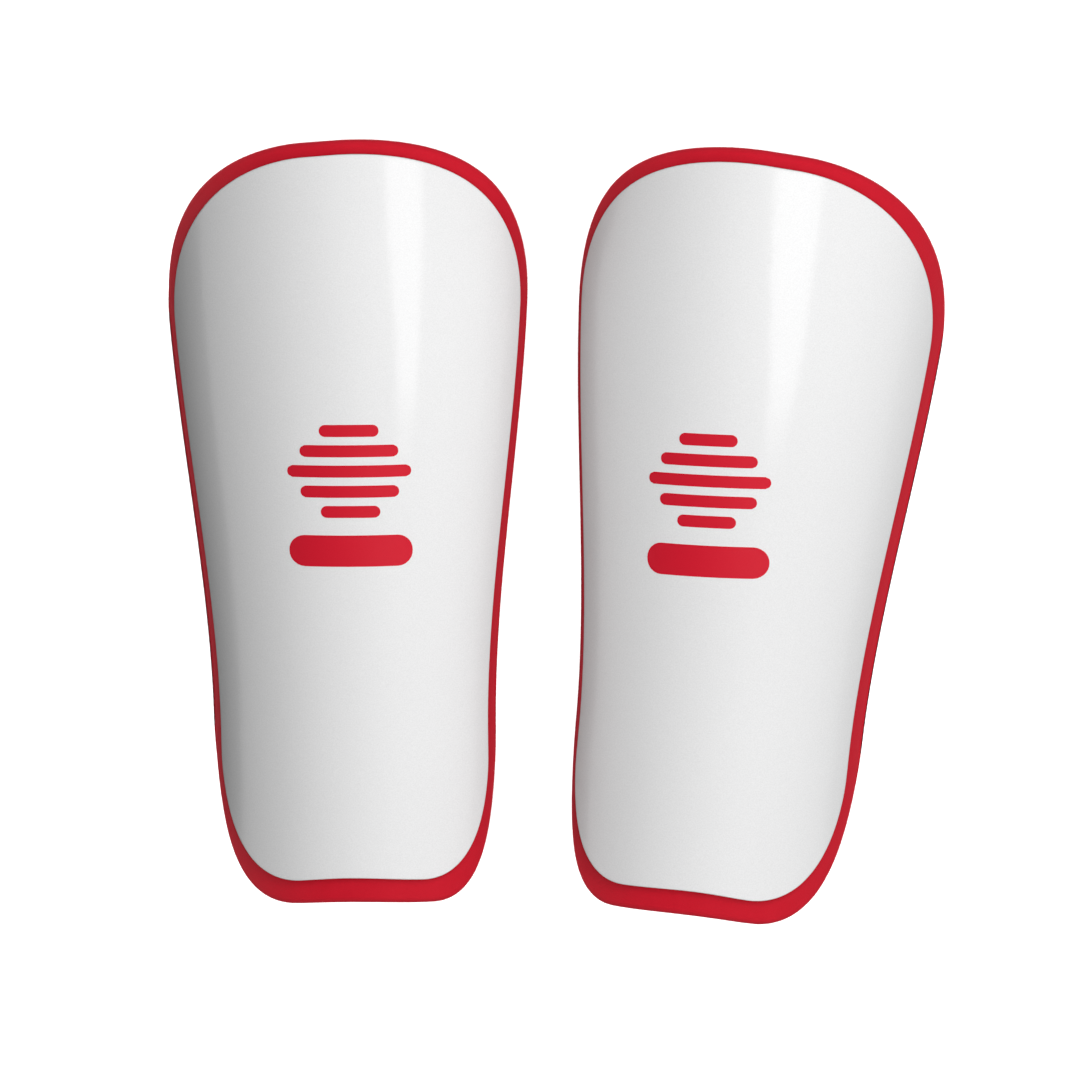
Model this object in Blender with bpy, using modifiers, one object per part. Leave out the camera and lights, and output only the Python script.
"""A pair of slip-in shin guards lying crown up: hard shells glued on larger foam backings.

Units are metres and radians, +Z is up. X runs across the pair and +Y towards the knee ends.
Each guard is bent from one cross-section, so every layer is placed by three coordinates on it:
the angle round the shin from the crown line, the distance along from the ankle end, and the
height above the outer face of the foam backing. A positive angle is the inner wing, which faces
the other guard. The left guard is shaped first, and the right guard is its mirror image.
"""

import math

import bmesh
import bpy
from mathutils import Vector

# Overall form of one guard
GUARD_LENGTH = 0.245
ANKLE_HALF_WIDTH = 0.0462
KNEE_HALF_WIDTH = 0.0585
TAPER_START = 0.055
TAPER_END = 0.215
ANKLE_FLARE = 0.0018
ANKLE_FLARE_LENGTH = 0.040
INNER_WING_ANGLE = math.radians(71.0)
OUTER_WING_ANGLE = math.radians(63.0)

# Ends of the outline: the ankle end is raised in the middle, and both ends run slightly askew
ANKLE_RAISE = 0.0030
ANKLE_RAISE_WIDTH = 0.45
ANKLE_SKEW = 0.0009
KNEE_SKEW = 0.0044
END_TRIM_DEPTH = 0.060

# Corner ellipses of the backing, as (share of the wing's angle, length along the guard)
KNEE_INNER_CORNER = (1.00, 0.0534)
KNEE_OUTER_CORNER = (0.86, 0.0580)
ANKLE_INNER_CORNER = (0.56, 0.0573)
ANKLE_OUTER_CORNER = (0.68, 0.0599)

# Layers, from the outside in
ASSEMBLY_GAP = 0.0003
SHELL_THICKNESS = 0.0024
FOAM_THICKNESS = 0.0055
PAD_THICKNESS = 0.0030
LINING_THICKNESS = 0.0008
EMBLEM_THICKNESS = 0.0004

# How far the shell's edge stays inside the edge of the backing
SHELL_KNEE_MARGIN = 0.0044
SHELL_ANKLE_MARGIN = 0.0088
SHELL_INNER_MARGIN = 0.0103
SHELL_OUTER_MARGIN = 0.0096
SHELL_ANKLE_CORNER_TRIM = 0.0190

# The backing's wing edges are drawn past the floor and cut flat on it
FLOOR_OVERRUN = 0.0025
FLOOR_CUTTER_SIZE = (0.20, 0.30, 0.02)

# Comfort pads on both sides of the shin-bone channel, and the lining over them
CHANNEL_HALF_WIDTH = 0.008
PAD_WING_MARGIN = 0.019
PAD_ANKLE_MARGIN = 0.026
PAD_KNEE_MARGIN = 0.024
PAD_CORNER = (0.80, 0.030)
LINING_WING_MARGIN = 0.0115
LINING_ANKLE_MARGIN = 0.009
LINING_KNEE_MARGIN = 0.009
LINING_CORNER_TRIM = 0.014

# Emblem film on the crown of the shell: how far its middle lies towards the inner wing, and how
# far its knee end turns towards the inner wing
EMBLEM_CENTRE_ALONG = 0.135
EMBLEM_LENGTH = 0.045
EMBLEM_WIDTH = 0.038
EMBLEM_CORNER = 0.005
EMBLEM_OFFSETS = {"left": 0.0028, "right": 0.0081}
EMBLEM_TURNS = {"left": 0.0, "right": math.radians(4.0)}

# Where the two guards lie, before the pair is centred on the origin
GUARD_SPACING = 0.1252
RIGHT_GUARD_SETBACK = 0.0028
LEFT_GUARD_TURN = math.radians(0.55)
RIGHT_GUARD_TURN = math.radians(-5.2)

# Mesh cells (across, along) and edge rounding
BACKING_CELLS = (16, 18)
LINING_CELLS = (14, 14)
PAD_CELLS = (5, 12)
EMBLEM_CELLS = (8, 8)
END_BUNCHING = 0.25
SHELL_EDGE_ROUND = 0.0007
FOAM_EDGE_ROUND = 0.0012
SHARP_ANGLE = math.radians(35.0)
RIM_ANGLE = math.radians(50.0)

# Colours (linear RGBA) and roughness
WHITE = (0.86, 0.87, 0.87, 1.0)
RED = (0.62, 0.012, 0.028, 1.0)
EMBLEM_RED = (0.66, 0.010, 0.025, 1.0)
PAD_GREY = (0.16, 0.16, 0.17, 1.0)
LINING_GREY = (0.34, 0.34, 0.36, 1.0)
SHELL_ROUGHNESS = 0.18
FOAM_ROUGHNESS = 0.55
PAD_ROUGHNESS = 0.85
LINING_ROUGHNESS = 0.95
EMBLEM_ROUGHNESS = 0.25


def clear_scene():
    for obj in list(bpy.data.objects):
        bpy.data.objects.remove(obj, do_unlink=True)


def make_collection(name):
    collection = bpy.data.collections.new(name)
    bpy.context.scene.collection.children.link(collection)
    return collection


def make_material(name, colour, roughness):
    material = bpy.data.materials.new(name)
    material.use_nodes = True
    shader = material.node_tree.nodes["Principled BSDF"]
    shader.inputs["Base Color"].default_value = colour
    shader.inputs["Roughness"].default_value = roughness
    shader.inputs["Metallic"].default_value = 0.0
    return material


# ---- The bent form ----

def section_skew():
    """Curvature difference between the wings that lets both wing edges reach the floor."""
    inner, outer = INNER_WING_ANGLE, OUTER_WING_ANGLE
    turn = (inner + outer) / 2 - (math.sin(2 * inner) + math.sin(2 * outer)) / 4
    return (math.cos(outer) - math.cos(inner)) / turn


SECTION_SKEW = section_skew()


def section(angle):
    """Cross-section of unit radius: position across and height above the crown."""
    across = math.sin(angle) - SECTION_SKEW / 2 * math.sin(angle) ** 2
    height = math.cos(angle) - 1 + SECTION_SKEW * (angle / 2 - math.sin(2 * angle) / 4)
    return across, height


INNER_REACH, WING_DROP = section(INNER_WING_ANGLE)
OUTER_REACH = section(-OUTER_WING_ANGLE)[0]


def half_width(along):
    """Half of the guard's width: narrow at the ankle, broad at the calf."""
    step = min(max((along - TAPER_START) / (TAPER_END - TAPER_START), 0.0), 1.0)
    taper = step * step * (3 - 2 * step)
    flare = max(1 - along / ANKLE_FLARE_LENGTH, 0.0) ** 2
    return ANKLE_HALF_WIDTH + (KNEE_HALF_WIDTH - ANKLE_HALF_WIDTH) * taper + ANKLE_FLARE * flare


def section_radius(along):
    return 2 * half_width(along) / (INNER_REACH - OUTER_REACH)


def guard_point(angle, along, height):
    """Point of the left guard in its own frame: mid-length at y = 0, wing edges at z = 0."""
    radius = section_radius(along)
    across, rise = section(angle)
    x = radius * (across - (INNER_REACH + OUTER_REACH) / 2) + height * math.sin(angle)
    z = radius * (rise - WING_DROP) + height * math.cos(angle)
    return Vector((x, along - GUARD_LENGTH / 2, z))


# ---- Outlines on the form ----

def round_corner(across, along, corner):
    """Move a point of a square grid so that the square's corner becomes a quarter ellipse."""
    share_across, share_along = corner
    u = (abs(across) - 1 + share_across) / share_across
    v = (abs(along) - 1 + share_along) / share_along
    if u <= 0 or v <= 0:
        return across, along
    rounded_u = 1 - share_across + share_across * u * math.sqrt(1 - v * v / 2)
    rounded_v = 1 - share_along + share_along * v * math.sqrt(1 - u * u / 2)
    return math.copysign(rounded_u, across), math.copysign(rounded_v, along)


def end_shift(across, along, ends):
    """How far the shaped ends of a full-size layer move a point along the guard."""
    ankle, knee = ends
    near_ankle = max(1 - (along - ankle) / END_TRIM_DEPTH, 0.0)
    near_knee = max(1 - (knee - along) / END_TRIM_DEPTH, 0.0)
    raised = ANKLE_RAISE * math.exp(-(across / ANKLE_RAISE_WIDTH) ** 2)
    return (raised + ANKLE_SKEW * across) * near_ankle + KNEE_SKEW * across * near_knee


def station_between(ends, along):
    return ends[0] + (along + 1) / 2 * (ends[1] - ends[0])


def full_layer(ends, inner_margin, outer_margin):
    """Placing rule of a layer with shaped ends, the given distances inside the wing edges."""
    def place(across, along):
        station = station_between(ends, along)
        station += end_shift(across, station, ends)
        radius = section_radius(station)
        if across > 0:
            return across * (INNER_WING_ANGLE - inner_margin / radius), station
        return across * (OUTER_WING_ANGLE - outer_margin / radius), station
    return place


def pad_layer(ends, wing_angle, side):
    """Placing rule of a pad between the channel and one wing: side is 1 inner, -1 outer."""
    def place(across, along):
        station = station_between(ends, along)
        radius = section_radius(station)
        near = CHANNEL_HALF_WIDTH / radius
        far = wing_angle - PAD_WING_MARGIN / radius
        return side * (near + far) / 2 + across * (far - near) / 2, station
    return place


def emblem_layer(offset, turn):
    """Placing rule of the emblem film, offset from the crown line and turned on the shell."""
    def place(across, along):
        across *= EMBLEM_WIDTH / 2
        along *= EMBLEM_LENGTH / 2
        station = EMBLEM_CENTRE_ALONG + along * math.cos(turn) - across * math.sin(turn)
        distance = offset + across * math.cos(turn) + along * math.sin(turn)
        return distance / section_radius(station), station
    return place


def layer_point(grid_x, grid_y, outline, height):
    """Send a point of the grid from -1 to 1 to its place on the left guard."""
    grid_y = (1 + END_BUNCHING) * grid_y - END_BUNCHING * grid_y ** 3
    share_across, corner_length = outline["corners"][(grid_x > 0, grid_y > 0)]
    corner = (share_across, 2 * corner_length / outline["length"])
    angle, station = outline["place"](*round_corner(grid_x, grid_y, corner))
    return guard_point(angle, station, height)


def same_corners(corner):
    return {(inner, knee): corner for inner in (False, True) for knee in (False, True)}


def backing_corners(ankle_trim=0.0, knee_trim=0.0):
    """Corner ellipses of the backing, shortened along the guard by the given amounts."""
    def shorten(corner, trim):
        return corner[0], corner[1] - trim
    return {
        (True, True): shorten(KNEE_INNER_CORNER, knee_trim),
        (False, True): shorten(KNEE_OUTER_CORNER, knee_trim),
        (True, False): shorten(ANKLE_INNER_CORNER, ankle_trim),
        (False, False): shorten(ANKLE_OUTER_CORNER, ankle_trim),
    }


# ---- Solids ----

def sheet_mesh(name, mirrored, cells, outline, height):
    """Open sheet bent on the guard, with its faces looking outwards."""
    bm = bmesh.new()
    bmesh.ops.create_grid(bm, x_segments=cells[0], y_segments=cells[1], size=1.0)
    for vertex in bm.verts:
        vertex.co = layer_point(vertex.co.x, vertex.co.y, outline, height)
        if mirrored:
            vertex.co.x = -vertex.co.x
    if mirrored:
        bmesh.ops.reverse_faces(bm, faces=bm.faces)
    mesh = bpy.data.meshes.new(name)
    bm.to_mesh(mesh)
    bm.free()
    mesh.shade_smooth()
    mesh.set_sharp_from_angle(angle=SHARP_ANGLE)
    return mesh


def make_layer(guard, part_name, cells, outline, height, thickness, material):
    """Solid layer carried by the guard's frame: a positive thickness grows outwards."""
    name = f"{guard['name']}_{part_name}"
    layer = bpy.data.objects.new(name, sheet_mesh(name, guard["mirrored"], cells, outline, height))
    layer.data.materials.append(material)
    guard["parts"].objects.link(layer)
    layer.parent = guard["frame"]
    solidify = layer.modifiers.new("thickness", "SOLIDIFY")
    solidify.thickness = abs(thickness)
    solidify.offset = math.copysign(1.0, thickness)
    return layer


def round_edges(layer, width):
    bevel = layer.modifiers.new("rounded_edges", "BEVEL")
    bevel.width = width
    bevel.segments = 1
    bevel.limit_method = "ANGLE"
    bevel.angle_limit = RIM_ANGLE


def rest_flat(layer, guard):
    """Cut the wing edges off level with the floor, so that the guard lies on two flat strips."""
    bm = bmesh.new()
    bmesh.ops.create_cube(bm, size=1.0)
    bmesh.ops.scale(bm, vec=FLOOR_CUTTER_SIZE, verts=bm.verts)
    bmesh.ops.translate(bm, vec=(0.0, 0.0, -FLOOR_CUTTER_SIZE[2] / 2), verts=bm.verts)
    mesh = bpy.data.meshes.new(layer.name + "_floor_cutter")
    bm.to_mesh(mesh)
    bm.free()
    cutter = bpy.data.objects.new(mesh.name, mesh)
    guard["cutters"].objects.link(cutter)
    cutter.parent = guard["frame"]
    cutter.hide_render = True
    cutter.display_type = "WIRE"
    cut = layer.modifiers.new("flat_rest", "BOOLEAN")
    cut.object = cutter
    cut.operation = "DIFFERENCE"
    cut.solver = "EXACT"


def make_shell(guard):
    """Hard moulded shell on the outside, smaller than the backing all round."""
    ends = (SHELL_ANKLE_MARGIN, GUARD_LENGTH - SHELL_KNEE_MARGIN)
    outline = {
        "length": ends[1] - ends[0],
        "corners": backing_corners(SHELL_ANKLE_CORNER_TRIM, SHELL_KNEE_MARGIN),
        "place": full_layer(ends, SHELL_INNER_MARGIN, SHELL_OUTER_MARGIN),
    }
    material = make_material(guard["name"] + "_shell_white", WHITE, SHELL_ROUGHNESS)
    shell = make_layer(guard, "shell", BACKING_CELLS, outline, ASSEMBLY_GAP, SHELL_THICKNESS, material)
    round_edges(shell, SHELL_EDGE_ROUND)


def make_backing_foam(guard):
    """Foam backing whose edge shows all round the shell and carries the guard on the floor."""
    outline = {
        "length": GUARD_LENGTH,
        "corners": backing_corners(),
        "place": full_layer((0.0, GUARD_LENGTH), -FLOOR_OVERRUN, -FLOOR_OVERRUN),
    }
    material = make_material(guard["name"] + "_foam_red", RED, FOAM_ROUGHNESS)
    foam = make_layer(guard, "backing_foam", BACKING_CELLS, outline, 0.0, -FOAM_THICKNESS, material)
    round_edges(foam, FOAM_EDGE_ROUND)
    rest_flat(foam, guard)


def make_comfort_pads(guard):
    """Soft pads inside the backing, one on each side of the shin-bone channel."""
    material = make_material(guard["name"] + "_pad_grey", PAD_GREY, PAD_ROUGHNESS)
    height = -FOAM_THICKNESS - ASSEMBLY_GAP
    ends = (PAD_ANKLE_MARGIN, GUARD_LENGTH - PAD_KNEE_MARGIN)
    for label, wing_angle, side in (("inner", INNER_WING_ANGLE, 1), ("outer", OUTER_WING_ANGLE, -1)):
        outline = {
            "length": ends[1] - ends[0],
            "corners": same_corners(PAD_CORNER),
            "place": pad_layer(ends, wing_angle, side),
        }
        make_layer(guard, f"{label}_comfort_pad", PAD_CELLS, outline, height, -PAD_THICKNESS, material)


def make_lining(guard):
    """Knit lining next to the leg, over the pads and the channel."""
    ends = (LINING_ANKLE_MARGIN, GUARD_LENGTH - LINING_KNEE_MARGIN)
    outline = {
        "length": ends[1] - ends[0],
        "corners": backing_corners(LINING_CORNER_TRIM, LINING_CORNER_TRIM),
        "place": full_layer(ends, LINING_WING_MARGIN, LINING_WING_MARGIN),
    }
    material = make_material(guard["name"] + "_lining_grey", LINING_GREY, LINING_ROUGHNESS)
    height = -FOAM_THICKNESS - PAD_THICKNESS - 2 * ASSEMBLY_GAP
    make_layer(guard, "lining", LINING_CELLS, outline, height, -LINING_THICKNESS, material)


def make_emblem_film(guard):
    """Thin transfer film with the printed emblem, on the crown of the shell."""
    outline = {
        "length": EMBLEM_LENGTH,
        "corners": same_corners((2 * EMBLEM_CORNER / EMBLEM_WIDTH, EMBLEM_CORNER)),
        "place": emblem_layer(EMBLEM_OFFSETS[guard["name"]], EMBLEM_TURNS[guard["name"]]),
    }
    material = make_material(guard["name"] + "_emblem_red", EMBLEM_RED, EMBLEM_ROUGHNESS)
    height = SHELL_THICKNESS + 2 * ASSEMBLY_GAP
    make_layer(guard, "emblem_film", EMBLEM_CELLS, outline, height, EMBLEM_THICKNESS, material)


def make_guard(name, mirrored, place, turn, collections):
    """One complete guard, carried by an empty at its mid-length on the floor."""
    frame = bpy.data.objects.new(name + "_guard_frame", None)
    collections["parts"].objects.link(frame)
    frame.location = (place[0], place[1], 0.0)
    frame.rotation_euler = (0.0, 0.0, turn)
    guard = {"name": name, "mirrored": mirrored, "frame": frame, **collections}
    make_shell(guard)
    make_backing_foam(guard)
    make_comfort_pads(guard)
    make_lining(guard)
    make_emblem_film(guard)
    return frame


def centre_pair(frames, parts):
    """Shift both guards together until the origin is under the middle of their bounding box."""
    bpy.context.view_layer.update()
    depsgraph = bpy.context.evaluated_depsgraph_get()
    points = []
    for obj in parts.objects:
        if obj.type == "MESH":
            evaluated = obj.evaluated_get(depsgraph)
            points += [evaluated.matrix_world @ vertex.co for vertex in evaluated.data.vertices]
    for axis in (0, 1):
        values = [point[axis] for point in points]
        middle = (min(values) + max(values)) / 2
        for frame in frames:
            frame.location[axis] -= middle
    bpy.context.view_layer.update()


def main():
    clear_scene()
    collections = {"parts": make_collection("shin_guards"), "cutters": make_collection("cutters")}
    left_place = (-GUARD_SPACING / 2, 0.0)
    right_place = (GUARD_SPACING / 2, -RIGHT_GUARD_SETBACK)
    frames = [
        make_guard("left", False, left_place, LEFT_GUARD_TURN, collections),
        make_guard("right", True, right_place, RIGHT_GUARD_TURN, collections),
    ]
    centre_pair(frames, collections["parts"])


main()
